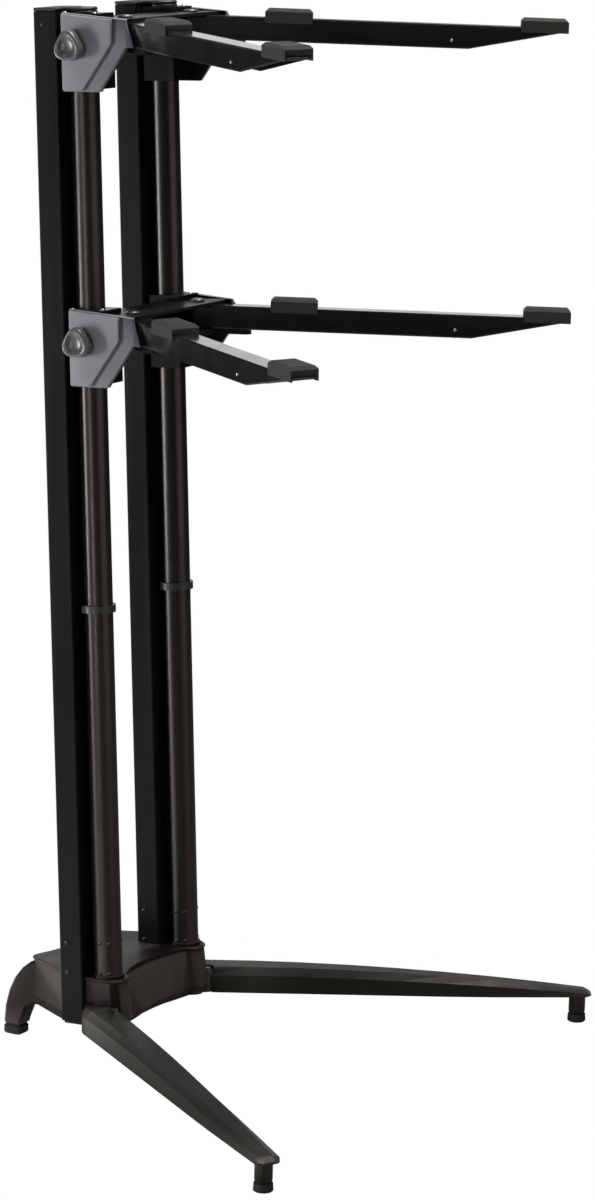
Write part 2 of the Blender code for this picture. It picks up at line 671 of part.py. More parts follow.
def build_clips(columns, material):
    """Snap-on cable clips, open towards the channels, with a bead on each end."""
    inner = TUBE_RADIUS + SEAT
    outer = inner + CLIP_THICKNESS
    opening = CLIP_OPENING * 180 / pi
    start = 90 + opening / 2
    end = 450 - opening / 2
    middle = inner + CLIP_BEAD
    bead_out = arc((middle * cos(radians(start)), middle * sin(radians(start))), CLIP_BEAD, start - 180, start, 4)
    bead_in = arc((middle * cos(radians(end)), middle * sin(radians(end))), CLIP_BEAD, end, end + 180, 4)
    outline = arc((0, 0), outer, start + 4, end - 4, 20) + bead_in
    outline += arc((0, 0), inner, end - 4, start + 4, 20) + bead_out
    for word, side in SIDES.items():
        axis = make_frame("axis_" + word + "_cable_clip", columns, (side * HALF_SPACING, 0, CLIP_HEIGHT_ON_COLUMN))
        clip = prism(word + "_cable_clip", outline, -CLIP_BAND / 2, CLIP_BAND / 2)
        finish(clip, material, axis)


def base_outline(grow=0.0, apron=0.0):
    """The base seen from above, right half first, then its mirror image."""
    rear_x, rear_y = BASE_REAR_CORNER
    radius = BASE_CORNER_RADIUS
    right = [(x, BASE_FRONT_MIDDLE - back - grow - apron) for x, back in FRONT_POINTS]
    right += [(x, y - apron * 0.35) for x, y in arc((HALF_SPACING, 0), COLLAR_RADIUS + grow, 205, 340, 8)]
    right += [(BASE_WAIST + grow, CHANNEL_FRONT - 1 * MM), (BASE_WAIST + grow, CHANNEL_REAR + 2 * CHANNEL_GAP)]
    right += arc((rear_x - radius, rear_y - radius), radius + grow, 30, 100, 3)
    right += [(rear_x / 2, rear_y * 0.4 + BASE_REAR_MIDDLE * 0.6 + grow), (0, BASE_REAR_MIDDLE + grow)]
    left = [(-x, y) for x, y in right[1:-1]]
    return right + left[::-1]


def build_shell():
    """The housing's outer form: the front leans forward and the underside is set in."""
    levels = ((BASE_BOTTOM, -BASE_SKIRT, BASE_APRON * 0.7), (BASE_APRON_BOTTOM, 0, BASE_APRON), (BASE_TOP, 0, 0))
    sections = [[(x, y, z) for x, y in base_outline(grow, apron)] for z, grow, apron in levels]
    return loft("base_housing", sections)


def column_cutter(clearance, floor_tube, floor_channel, top):
    """The space that both members of the right column take up, in the columns' frame."""
    cutter = prism("tube_space", tube_outline(TUBE_RADIUS + clearance), floor_tube, top)
    channel = prism("channel_space", channel_outline(-clearance), floor_channel, top)
    return cutter, channel


def claw_profile():
    """Side view of a rear claw in (y, z): the back arches down to the rubber pad."""
    rear = REAR_PAD_Y + REAR_PAD_LENGTH / 2
    root = BASE_REAR_CORNER[1]
    top = BASE_TOP
    floor = REAR_PAD_HEIGHT + SEAT
    back = []
    steps = 6
    for i in range(steps + 1):
        t = i / steps
        y = root - 8 * MM + (rear - root + 7 * MM) * sin(t * pi / 2) ** 1.1
        z = floor + (top - floor) * (1 - t ** 1.7)
        back.append((y, z))
    front = REAR_PAD_Y - REAR_PAD_LENGTH / 2
    arch = [(front, floor), (front - 2 * MM, floor + 8 * MM), (front - 9 * MM, BASE_BOTTOM - 7 * MM),
            (front - 20 * MM, BASE_BOTTOM), (root - 40 * MM, BASE_BOTTOM), (root - 40 * MM, top)]
    return back + arch


def leg_point(side, along, across):
    """A point beside the axis of a front leg, in the base's plan."""
    forward = Vector((side * sin(LEG_SPREAD), -cos(LEG_SPREAD)))
    outward = Vector((side * cos(LEG_SPREAD), sin(LEG_SPREAD)))
    origin = Vector((side * LEG_ORIGIN[0], LEG_ORIGIN[1]))
    return tuple(origin + forward * along + outward * across)


def hinge_place(side):
    return (*leg_point(side, LEG_SEAM, -HINGE_OFFSET), 0)


def hinge_levels():
    """Bottom and top of the leg's eye."""
    middle = (STUB_TOP + STUB_BOTTOM) / 2
    return middle - HINGE_EYE_HEIGHT / 2, middle + HINGE_EYE_HEIGHT / 2


def build_stub(side):
    """The part of the casting that carries a leg: it ends at the seam, with two eyes for the pin."""
    half = LEG_ROOT_HALF_WIDTH
    sections = [leg_section(y, width, LEG_ROOT_FLAT, STUB_BOTTOM, STUB_TOP)
                for y, width in ((STUB_BACK, half * 0.4), (STUB_BACK * 0.3, half), (0, half))]
    stub = loft("stub", sections)
    eye = lathe("eyes", [(0, STUB_BOTTOM + 1 * MM), (HINGE_EYE_RADIUS, STUB_BOTTOM + 1 * MM),
                         (HINGE_EYE_RADIUS, HINGE_EYE_SHOULDER), (HINGE_EYE_RADIUS * 0.7, STUB_TOP - 1 * MM),
                         (0, STUB_TOP - 1 * MM)], 24)
    join(stub, moved(eye, (-side * HINGE_OFFSET, 0, 0)))
    origin = leg_point(side, LEG_SEAM, 0)
    place = Matrix.Translation((origin[0], origin[1], 0))
    stub.data.transform(place @ Matrix.Rotation(side * LEG_SPREAD, 4, "Z"))
    return stub


def add_stub(housing, side):
    """Cut the room of the leg and join its stub on, with the bore of its pin."""
    half = LEG_ROOT_HALF_WIDTH
    corner = leg_point(side, LEG_SEAM - 1 * MM, -half - 3 * MM)
    room = [corner, (corner[0], corner[1] - 2 * half), leg_point(side, LEG_SEAM + 3 * half, 3 * half),
            leg_point(side, LEG_SEAM - 1 * MM, 3 * half)]
    cut(housing, prism("leg_room", room, BASE_BOTTOM - 5 * MM, STUB_TOP + SLIDE))
    join(housing, build_stub(side))
    low, high = hinge_levels()
    bore = PIN_RADIUS + BORE_PLAY
    space = HINGE_EYE_RADIUS + SLIDE
    recess = lathe("recess", [(0, STUB_BOTTOM + 4 * MM), (bore, STUB_BOTTOM + 4 * MM), (bore, low - SLIDE),
                              (space, low - SLIDE), (space, high + SLIDE), (bore, high + SLIDE),
                              (bore, STUB_TOP + 1 * MM), (0, STUB_TOP + 1 * MM)], 20)
    cut(housing, moved(recess, hinge_place(side)))


def build_base(stand, materials):
    housing = build_shell()
    for side in SIDES.values():
        claw_span = sorted((side * (CLAW_X - CLAW_WIDTH / 2), side * (CLAW_X + CLAW_WIDTH / 2)))
        claw = prism("claw", claw_profile(), claw_span[0], claw_span[1], "X")
        bevel(claw, 3 * MM, 1, 60)
        join(housing, claw)
    cut(housing, box("pocket", (-POCKET_HALF_WIDTH, POCKET_FRONT, BASE_BOTTOM - 5 * MM),
                     (POCKET_HALF_WIDTH, POCKET_REAR, POCKET_ROOF)))
    for side in SIDES.values():
        add_stub(housing, side)
        for space in column_cutter(SEAT, SOCKET_FLOOR_TUBE, SOCKET_FLOOR_CHANNEL, 200 * MM):
            space.data.transform(Matrix.Scale(side, 4, (1, 0, 0)))
            if side < 0:
                space.data.flip_normals()
            cut(housing, leaned(space))
        tube_spigot = prism("tube_spigot", mirrored(tube_outline(TUBE_RADIUS - TUBE_WALL - SEAT), side),
                            SOCKET_FLOOR_TUBE - 5 * MM, SPIGOT_TOP)
        channel_spigot = prism("channel_spigot", mirrored(channel_outline(CHANNEL_WALL + SEAT), side),
                               SOCKET_FLOOR_CHANNEL - 3 * MM, SPIGOT_TOP)
        join(housing, leaned(tube_spigot), leaned(channel_spigot))
    finish(housing, materials["base"], stand)

    low = BASE_TOP + SEAT
    cover = prism("base_top_plate", base_outline(PLATE_OVERHANG), low, low + TOP_PLATE_THICKNESS)
    bevel(cover, 1.5 * MM, 1, 60)
    for side in SIDES.values():
        collar = lathe("collar", [(0, low + 1 * MM), (COLLAR_RADIUS, low + 1 * MM),
                                  (COLLAR_RADIUS, low + TOP_PLATE_THICKNESS - 1 * MM),
                                  (TUBE_RADIUS + 2.5 * MM, low + TOP_PLATE_THICKNESS + COLLAR_HEIGHT * 0.6),
                                  (TUBE_RADIUS + 1.5 * MM, low + TOP_PLATE_THICKNESS + COLLAR_HEIGHT),
                                  (0, low + TOP_PLATE_THICKNESS + COLLAR_HEIGHT)], 28)
        collar.data.transform(Matrix.Translation((side * HALF_SPACING, low * sin(LEAN), 0)))
        join(cover, collar)
        for space in column_cutter(SEAT, 0, 0, 200 * MM):
            space.data.transform(Matrix.Scale(side, 4, (1, 0, 0)))
            if side < 0:
                space.data.flip_normals()
            cut(cover, leaned(space))
    finish(cover, materials["base"], stand)

    for word, side in SIDES.items():
        span = sorted((side * (CLAW_X - CLAW_WIDTH / 2), side * (CLAW_X + CLAW_WIDTH / 2)))
        outline = rounded_box_outline((span[0], REAR_PAD_Y - REAR_PAD_LENGTH / 2),
                                      (span[1], REAR_PAD_Y + REAR_PAD_LENGTH / 2), 6 * MM)
        pad = prism(word + "_rear_foot_pad", outline, 0, REAR_PAD_HEIGHT)
        bevel(pad, 2 * MM, 1, 60)
        finish(pad, materials["rubber"], stand)


def leg_top(share):
    """Height of the leg's top from its root, 0, to its toe, 1: nearly level at first, then drooping."""
    return STUB_TOP - (STUB_TOP - LEG_TOE_TOP) * share ** 1.9


def leg_bottom(share):
    return STUB_BOTTOM - (STUB_BOTTOM - LEG_TOE_BOTTOM) * min(1.0, share / 0.7)


def leg_section(y, half, flat, low, high):
    """Flat top, sloped shoulders beside it, upright lower sides."""
    ridge = high - (high - low) * LEG_SHOULDER
    foot = low + (high - low) * 0.1
    return [(-half * 0.93, y, low), (-half, y, foot), (-half, y, ridge), (-half * flat, y, high),
            (half * flat, y, high), (half, y, ridge), (half, y, foot), (half * 0.93, y, low)]


def build_leg(word, side, stand, materials):
    """Drawn along -Y from its hinge pin, which stands inside the leg's axis."""
    axis = make_frame("axis_" + word + "_front_leg", stand, hinge_place(side), (0, 0, side * LEG_SPREAD))
    centre = side * HINGE_OFFSET
    end = LEG_REACH - LEG_SEAM + LEG_NOSE
    sections = []
    for i in range(LEG_STATIONS + 1):
        share = i / LEG_STATIONS
        y = -(SEAT + (end - SEAT) * share)
        half = LEG_ROOT_HALF_WIDTH + (LEG_TOE_HALF_WIDTH - LEG_ROOT_HALF_WIDTH) * share
        flat = LEG_ROOT_FLAT + (LEG_TOE_FLAT - LEG_ROOT_FLAT) * share
        sections.append(leg_section(y, half, flat, leg_bottom(share), leg_top(share)))
    nose_height = LEG_TOE_TOP - LEG_TOE_BOTTOM
    for size, ahead in ((0.86, 0.35), (0.55, 0.56)):
        sections.append(leg_section(-end - LEG_TOE_HALF_WIDTH * ahead, LEG_TOE_HALF_WIDTH * size, LEG_TOE_FLAT,
                                    LEG_TOE_BOTTOM + nose_height * 0.2 * ahead, LEG_TOE_TOP - nose_height * ahead))
    leg = moved(loft(word + "_front_leg", sections), (centre, 0, 0))
    low, high = hinge_levels()
    clear = HINGE_EYE_RADIUS + SLIDE
    join(leg, cylinder("eye", HINGE_EYE_RADIUS, low - 1 * MM, high + 1 * MM, 24))
    cut(leg, cylinder("lower_eye_space", clear, STUB_BOTTOM - 5 * MM, low, 24),
        cylinder("upper_eye_space", clear, high, STUB_TOP + 5 * MM, 24),
        cylinder("bore", PIN_RADIUS + BORE_PLAY, STUB_BOTTOM, STUB_TOP, 16))
    finish(leg, materials["leg"], axis)

    pin = cylinder(word + "_leg_pin", PIN_RADIUS, STUB_BOTTOM + 4 * MM + SEAT, STUB_TOP - 1 * MM - SEAT, 16)
    finish(pin, materials["steel"], stand, hinge_place(side))

    toe = (centre, LEG_SEAM - LEG_REACH, 0)
    post_low = FOOT_CAP_SOLE + SEAT
    post_high = LEG_TOE_BOTTOM - SEAT
    neck = POST_RADIUS - 1 * MM
    post = lathe(word + "_foot_post", [(0, post_low), (neck, post_low), (neck, FOOT_CAP_HEIGHT + 2 * MM),
                                       (POST_RADIUS, FOOT_CAP_HEIGHT + 4 * MM), (POST_RADIUS, post_high),
                                       (0, post_high)], 20)
    finish(post, materials["leg"], axis, toe)
    pocket = POST_RADIUS - 1 * MM + SEAT
    rim = FOOT_CAP_HEIGHT
    cap = lathe(word + "_foot_cap", [(0, 0), (FOOT_CAP_RADIUS - 1.5 * MM, 0), (FOOT_CAP_RADIUS, 1.5 * MM),
                                     (FOOT_CAP_RADIUS - 0.6 * MM, rim), (pocket, rim), (pocket, FOOT_CAP_SOLE),
                                     (0, FOOT_CAP_SOLE)], 20)
    finish(cap, materials["rubber"], axis, toe)


def place_origin(stand):
    """Put the origin on the floor under the middle of the stand's box."""
    bpy.context.view_layer.update()
    corners = [obj.matrix_world @ Vector(corner) for obj in bpy.data.objects if obj.type == "MESH"
               for corner in [vertex.co for vertex in obj.data.vertices]]
    middle = (min(c.y for c in corners) + max(c.y for c in corners)) / 2
    stand.location = (0, -middle, 0)
    bpy.context.view_layer.update()


def main():
    clear_scene()
    materials = {
        "black": make_material("satin_black_aluminium", (0.012, 0.012, 0.013), 0.38, 0.2),
        "plate": make_material("blue_grey_plate", (0.055, 0.062, 0.072), 0.42, 0.6),
        "cap": make_material("black_plastic", (0.012, 0.012, 0.012), 0.5),
        "knob": make_material("knob_plastic", (0.02, 0.02, 0.022), 0.45),
        "arm": make_material("arm_black_paint", (0.010, 0.010, 0.011), 0.4),
        "rubber": make_material("dark_rubber", (0.022, 0.022, 0.023), 0.8),
        "steel": make_material("zinc_steel", (0.45, 0.45, 0.46), 0.35, 1.0),
        "shoe": make_material("shoe_nylon", (0.03, 0.03, 0.03), 0.6),
        "base": make_material("brown_black_casting", (0.016, 0.014, 0.012), 0.42),
        "leg": make_material("leg_black_casting", (0.014, 0.014, 0.015), 0.36),
    }
    stand = make_frame("stand")
    columns = make_frame("column_frame", stand, rotation=(-LEAN, 0, 0))
    build_base(stand, materials)
    for word, side in SIDES.items():
        build_leg(word, side, stand, materials)
    build_columns(columns, materials["black"], materials["cap"])
    build_tiers(columns, materials)
    build_clips(columns, materials["cap"])
    place_origin(stand)


main()
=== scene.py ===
from math import cos, pi, radians, sin

import bmesh
import bpy
from mathutils import Matrix, Vector


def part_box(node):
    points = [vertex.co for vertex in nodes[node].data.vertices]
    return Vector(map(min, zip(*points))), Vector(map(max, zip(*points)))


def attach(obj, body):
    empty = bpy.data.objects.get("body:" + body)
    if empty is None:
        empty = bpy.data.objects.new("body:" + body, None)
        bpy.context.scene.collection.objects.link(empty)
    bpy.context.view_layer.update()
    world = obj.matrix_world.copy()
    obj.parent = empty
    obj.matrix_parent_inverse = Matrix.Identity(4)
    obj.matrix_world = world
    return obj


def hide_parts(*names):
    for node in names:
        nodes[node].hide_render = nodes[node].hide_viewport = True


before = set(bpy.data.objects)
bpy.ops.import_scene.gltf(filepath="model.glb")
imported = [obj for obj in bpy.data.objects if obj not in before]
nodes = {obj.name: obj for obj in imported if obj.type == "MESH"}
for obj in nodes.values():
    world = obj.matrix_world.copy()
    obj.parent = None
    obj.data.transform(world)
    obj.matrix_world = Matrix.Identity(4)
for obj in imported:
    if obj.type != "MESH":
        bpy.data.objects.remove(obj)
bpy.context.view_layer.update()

MM = 0.001
LEAN = radians(3.0)                 # the columns lean back by this angle
SHIFT_Y = 0.124862                  # of the columns' own origin in the row frame
SIDES = {"left": -1, "right": 1}
TIER_HEIGHTS = {"upper": 1259 * MM, "lower": 904 * MM}

COLUMN_X = 90 * MM
TUBE_RADIUS = 17.5 * MM
TUBE_BORE_RADIUS = 14.7 * MM
TUBE_BOTTOM = 62 * MM
TUBE_TOP = 1300 * MM
TUBE_CHAMFER = 0.6 * MM
TUBE_STEPS = 96
CHANNEL_FACE_X = 120 * MM           # outer face of a channel
CHANNEL_INNER_X = 60 * MM

ARM_SPREADS = {"left": radians(33.1), "right": radians(29.0)}
ARM_PIVOT_X = 74 * MM
ARM_PIVOT_Y = -50 * MM
ARM_HALF_WIDTH = 15 * MM


def column_direction(x, y, s):
    """A direction given beside, behind and up the leaning columns, in the row frame."""
    return Vector((x, y * cos(LEAN) + s * sin(LEAN), s * cos(LEAN) - y * sin(LEAN)))


def column_point(x, y, s):
    """A point given beside, behind and up the leaning columns, in the row frame."""
    return column_direction(x, y, s) + Vector((0, SHIFT_Y, 0))


# Shader nodes

NOISE_RANGE = (0.3, 0.7)            # most of a noise texture's values lie in it
FALLING = (1.0, 0.0)
COAT_ROUGHNESS = 0.12


def base_material(name, colour, roughness, metallic=0.0, specular=0.5, coat=0.0):
    material = bpy.data.materials.new(name)
    material.use_nodes = True
    tree = material.node_tree
    shader = tree.nodes["Principled BSDF"]
    shader.inputs["Base Color"].default_value = (*colour, 1)
    shader.inputs["Roughness"].default_value = roughness
    shader.inputs["Metallic"].default_value = metallic
    shader.inputs["Specular IOR Level"].default_value = specular
    shader.inputs["Coat Weight"].default_value = coat
    shader.inputs["Coat Roughness"].default_value = COAT_ROUGHNESS
    place = tree.nodes.new("ShaderNodeTexCoord")
    return material, tree, shader, place.outputs["Object"]


def noise(tree, place, scale, detail, stretch):
    mapping = tree.nodes.new("ShaderNodeMapping")
    mapping.inputs["Scale"].default_value = stretch
    tree.links.new(place, mapping.inputs["Vector"])
    node = tree.nodes.new("ShaderNodeTexNoise")
    node.inputs["Scale"].default_value = scale
    node.inputs["Detail"].default_value = detail
    tree.links.new(mapping.outputs["Vector"], node.inputs["Vector"])
    return node.outputs["Fac"]


def map_range(tree, value, source, target=(0.0, 1.0), interpolation="LINEAR"):
    node = tree.nodes.new("ShaderNodeMapRange")
    node.interpolation_type = interpolation
    for socket, number in zip(("From Min", "From Max", "To Min", "To Max"), (*source, *target)):
        node.inputs[socket].default_value = number
    tree.links.new(value, node.inputs["Value"])
    return node.outputs["Result"]


def smooth_range(tree, value, source, target=(0.0, 1.0)):
    return map_range(tree, value, source, target, "SMOOTHSTEP")


def mixed(tree, factor, first, second):
    """A mix of two colours, each given as numbers or as another node's output."""
    node = tree.nodes.new("ShaderNodeMix")
    node.data_type = "RGBA"
    tree.links.new(factor, node.inputs["Factor"])
    for socket, colour in (("A", first), ("B", second)):
        target = [s for s in node.inputs if s.name == socket and s.type == "RGBA"][0]
        if isinstance(colour, tuple):
            target.default_value = (*colour, 1)
        else:
            tree.links.new(colour, target)
    return [s for s in node.outputs if s.type == "RGBA"][0]


def product(tree, first, second):
    node = tree.nodes.new("ShaderNodeMath")
    node.operation = "MULTIPLY"
    tree.links.new(first, node.inputs[0])
    tree.links.new(second, node.inputs[1])
    return node.outputs[0]


def along_axis(tree, place, axis):
    node = tree.nodes.new("ShaderNodeVectorMath")
    node.operation = "DOT_PRODUCT"
    node.inputs[1].default_value = axis
    tree.links.new(place, node.inputs[0])
    return node.outputs["Value"]


def bump(tree, shader, height, strength, distance):
    node = tree.nodes.new("ShaderNodeBump")
    node.inputs["Strength"].default_value = strength
    node.inputs["Distance"].default_value = distance
    tree.links.new(height, node.inputs["Height"])
    tree.links.new(node.outputs["Normal"], shader.inputs["Normal"])


# Materials

CLOUD = 9.0                         # scale of the cloudy tone
GLOSS_CLOUD = 36.0                  # scale of the uneven gloss
GLOSS_SPREAD = (-0.05, 0.06)        # added to the roughness
DRAWN = (1, 1, 0.06)                # stretch of a texture along a drawn or extruded piece


def finish_material(name, dark, light, roughness, grain, grain_strength, specular=0.5,
                    metallic=0.0, coat=0.0, stretch=(1, 1, 1), edge=None,
                    edge_range=(0.53, 0.62), grain_size=0.0002, sheen=None):
    """A painted, cast or moulded finish: cloudy tone, uneven gloss, fine grain and a lighter colour
    on the convex edges, which is worn finish, and on the plates, knobs and clips a painted
    highlight.
    """
    material, tree, shader, place = base_material(name, dark, roughness, metallic, specular, coat)
    if sheen:
        shader.inputs["Specular Tint"].default_value = (*sheen, 1)
    cloud = map_range(tree, noise(tree, place, CLOUD, 4.0, stretch), NOISE_RANGE)
    tone = mixed(tree, cloud, dark, light)
    if edge:
        # The pointiness rises on the convex edges. The edge colour painted there is worn finish,
        # and on the plates, knobs and clips it is a painted highlight
        geometry = tree.nodes.new("ShaderNodeNewGeometry")
        wear_and_highlight = map_range(tree, geometry.outputs["Pointiness"], edge_range)
        tone = mixed(tree, wear_and_highlight, tone, edge)
    tree.links.new(tone, shader.inputs["Base Color"])
    gloss = map_range(tree, noise(tree, place, GLOSS_CLOUD, 5.0, stretch), NOISE_RANGE,
                      [roughness + change for change in GLOSS_SPREAD])
    tree.links.new(gloss, shader.inputs["Roughness"])
    bump(tree, shader, noise(tree, place, grain, 2.0, stretch), grain_strength, grain_size)
    return material


COLUMN = finish_material(
    "satin_black_column", (0.0066, 0.0058, 0.0048), (0.0086, 0.0076, 0.0064),
    roughness=0.34, grain=900, grain_strength=0.10, specular=0.58, stretch=DRAWN,
    edge=(0.03, 0.029, 0.028), sheen=(1.0, 0.93, 0.86))
CHANNEL = finish_material(
    "satin_black_channel", (0.0105, 0.0115, 0.0108), (0.0140, 0.0150, 0.0140),
    roughness=0.30, grain=900, grain_strength=0.10, specular=0.10, stretch=DRAWN,
    edge=(0.008, 0.008, 0.0085))
CARRIAGE = finish_material(
    "cast_black_carriage", (0.0050, 0.0050, 0.0048), (0.0075, 0.0075, 0.0073),
    roughness=0.34, grain=1400, grain_strength=0.22, specular=0.06, edge=(0.02, 0.02, 0.02))
# The plate's light edge colour is a painted highlight along its bevelled edges.
PLATE = finish_material(
    "blue_grey_plate", (0.046, 0.056, 0.071), (0.060, 0.070, 0.086),
    roughness=0.34, grain=1300, grain_strength=0.22, specular=0.4,
    edge=(0.40, 0.42, 0.46), edge_range=(0.54, 0.62))
# The knob's light edge colour is a painted highlight on its rim.
KNOB = finish_material(
    "grained_knob", (0.088, 0.088, 0.092), (0.106, 0.106, 0.110),
    roughness=0.30, grain=2200, grain_strength=0.20, specular=0.7, edge=(0.20, 0.20, 0.21))
PLASTIC = finish_material(
    "black_cap_plastic", (0.009, 0.009, 0.009), (0.013, 0.013, 0.013),
    roughness=0.5, grain=1800, grain_strength=0.2)
# The clip's light edge colour is a painted highlight along its edges.
CLIP = finish_material(
    "clip_plastic", (0.011, 0.011, 0.011), (0.016, 0.016, 0.016),
    roughness=0.42, grain=1800, grain_strength=0.15, edge=(0.06, 0.06, 0.06))
ARM = finish_material(
    "arm_paint", (0.0058, 0.0057, 0.0048), (0.0080, 0.0078, 0.0066),
    roughness=0.20, grain=700, grain_strength=0.06, specular=0.7, coat=0.7,
    edge=(0.03, 0.03, 0.03))
RUBBER = finish_material(
    "pad_rubber", (0.0074, 0.0069, 0.0062), (0.0116, 0.0109, 0.0099),
    roughness=0.75, grain=1500, grain_strength=0.5, specular=0.12, edge=(0.06, 0.058, 0.055))
STEEL = finish_material(
    "zinc_steel", (0.62, 0.62, 0.63), (0.72, 0.72, 0.72),
    roughness=0.30, grain=1500, grain_strength=0.15, metallic=1.0)
DARK_STEEL = finish_material(
    "blackened_steel", (0.03, 0.03, 0.032), (0.05, 0.05, 0.05),
    roughness=0.34, grain=1500, grain_strength=0.15, metallic=0.9, edge=(0.2, 0.2, 0.2))
NYLON = finish_material(
    "shoe_nylon", (0.03, 0.03, 0.03), (0.04, 0.04, 0.04),
    roughness=0.6, grain=1500, grain_strength=0.2)
BASE = finish_material(
    "brown_black_casting", (0.0062, 0.0050, 0.0043), (0.0096, 0.0080, 0.0070),
    roughness=0.46, grain=650, grain_strength=0.10, specular=0.2,
    edge=(0.08, 0.074, 0.068), grain_size=0.0003, sheen=(1.0, 0.94, 0.89))
LEG = finish_material(
    "leg_casting", (0.0085, 0.0080, 0.0070), (0.0125, 0.0118, 0.0105),
    roughness=0.40, grain=650, grain_strength=0.07, specular=0.25,
    edge=(0.08, 0.077, 0.072), grain_size=0.0003, sheen=(1.0, 0.96, 0.90))

# The first part that a node's name holds gives its material
NODE_MATERIALS = (
    ("base_", BASE), ("_column_tube", COLUMN), ("_column_channel", CHANNEL),
    ("top_bridge", CHANNEL), ("_column_cap", PLASTIC), ("_carriage", CARRIAGE),
    ("_plate", PLATE), ("_knob", KNOB), ("_clip", CLIP), ("_arm_pin", DARK_STEEL),
    ("_leg_pin", DARK_STEEL), ("_screw", STEEL), ("_shoe", NYLON), ("_pad_", RUBBER),
    ("_rear_foot_pad", RUBBER), ("_foot_cap", RUBBER), ("_foot_post", LEG),
    ("_front_leg", LEG), ("_arm", ARM))


def material_for(name):
    for part, material in NODE_MATERIALS:
        if part in name:
            return material
    raise KeyError(name)


for node_name, node_object in nodes.items():
    node_object.data.materials.clear()
    node_object.data.materials.append(material_for(node_name))


# Softened edges on the CAD pieces

SHARP_ANGLE = radians(32)           # edges above it stay sharp in the shading
TURNED_ANGLE = radians(40)          # the same for tubes and screws
KNOB_ANGLE = radians(50)            # the same for knobs
EDGE_WIDTHS = (
    ("base_", 1.6), ("_plate", 1.0), ("_front_leg", 1.6), ("_carriage", 0.8), ("_arm", 0.8),
    ("_clip", 0.5), ("_channel", 0.8), ("_cap", 0.6), ("top_bridge", 0.6),
    ("_rear_foot_pad", 1.2))
PAD_EDGE = 1.6 * MM
PAD_ANGLE = radians(40)             # edges above it are rounded


def smoothing_group(angle):
    """Geometry nodes that shade faces smooth and keep the edges above an angle sharp."""
    group = bpy.data.node_groups.new("smooth_by_angle", "GeometryNodeTree")
    for direction in ("INPUT", "OUTPUT"):
        group.interface.new_socket("Geometry", in_out=direction,
                                   socket_type="NodeSocketGeometry")
    start = group.nodes.new("NodeGroupInput")
    end = group.nodes.new("NodeGroupOutput")
    faces = group.nodes.new("GeometryNodeSetShadeSmooth")
    faces.domain = "FACE"
    edges = group.nodes.new("GeometryNodeSetShadeSmooth")
    edges.domain = "EDGE"
    edges.inputs["Shade Smooth"].default_value = False
    between = group.nodes.new("GeometryNodeInputMeshEdgeAngle")
    sharp = group.nodes.new("FunctionNodeCompare")
    sharp.data_type = "FLOAT"
    sharp.operation = "GREATER_THAN"
    sharp.inputs["B"].default_value = angle
    group.links.new(between.outputs["Unsigned Angle"], sharp.inputs["A"])
    group.links.new(sharp.outputs["Result"], edges.inputs["Selection"])
    group.links.new(start.outputs[0], faces.inputs["Geometry"])
    group.links.new(faces.outputs[0], edges.inputs["Geometry"])
    group.links.new(edges.outputs[0], end.inputs[0])
    return group


def soften(obj, width, segments=2, angle=SHARP_ANGLE, harden=True):
    modifier = obj.modifiers.new("soft_edges", "BEVEL")
    modifier.width = width
    modifier.segments = segments
    modifier.limit_method = "ANGLE"
    modifier.angle_limit = angle
    modifier.use_clamp_overlap = True
    modifier.harden_normals = harden


smoothing = smoothing_group(SHARP_ANGLE)
for node_name, node_object in nodes.items():
    node_object.modifiers.new("smooth_by_angle", "NODES").node_group = smoothing
    for part, width in EDGE_WIDTHS:
        if part in node_name and "_arm_pin" not in node_name:
            soften(node_object, width * MM)
            break


# Meshes of the new pieces

def linked(name, mesh):
    obj = bpy.data.objects.new(name, mesh)
    bpy.context.scene.collection.objects.link(obj)
    return obj


def shade(mesh, angle):
    mesh.shade_smooth()
    mesh.set_sharp_from_angle(angle=angle)


def settle(obj):
    """Turn the modifiers of a new piece into its mesh."""
    bpy.context.view_layer.update()
    evaluated = obj.evaluated_get(bpy.context.evaluated_depsgraph_get())
    mesh = bpy.data.meshes.new_from_object(evaluated)
    obj.modifiers.clear()
    obj.data = mesh
    shade(mesh, SHARP_ANGLE)


def around(steps):
    return [2 * pi * i / steps for i in range(steps)]


def circle(radius, steps):
    return [(radius * cos(angle), radius * sin(angle)) for angle in around(steps)]


def skinned(name, rings, angle, closed=False, capped=False):
    """A piece from rings of points, each joined to the next. A ring may be a single point."""
    bm = bmesh.new()
    loops = [[bm.verts.new(point) for point in ring] for ring in rings]
    following = loops[1:] + (loops[:1] if closed else [])
    for near, far in zip(loops, following):
        for i in range(max(len(near), len(far))):
            corners = [near[i % len(near)], near[(i + 1) % len(near)],
                       far[(i + 1) % len(far)], far[i % len(far)]]
            bm.faces.new(list(dict.fromkeys(corners)))
    if capped:
        bm.faces.new(loops[0])
        bm.faces.new(loops[-1])
    bmesh.ops.recalc_face_normals(bm, faces=bm.faces)
    mesh = bpy.data.meshes.new(name)
    bm.to_mesh(mesh)
    bm.free()
    shade(mesh, angle)
    return linked(name, mesh)


# Rubber pads on the arms

def arm_pad(tier, word, position):
    """The moulded rubber cap over an arm: the CAD node's form with rounded edges."""
    node = "tier_%s_%s_pad_%s" % (tier, word, position)
    pad = linked(node + "_rubber", nodes[node].data.copy())
    soften(pad, PAD_EDGE, 4, PAD_ANGLE, harden=False)
    settle(pad)
    pad.data.materials.clear()
    pad.data.materials.append(RUBBER)
    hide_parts(node)
    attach(pad, "tier_%s_%s_arm" % (tier, word))


for tier_name in TIER_HEIGHTS:
    for side_word in SIDES:
        for pad_position in ("inner", "outer"):
            arm_pad(tier_name, side_word, pad_position)


# Column tubes

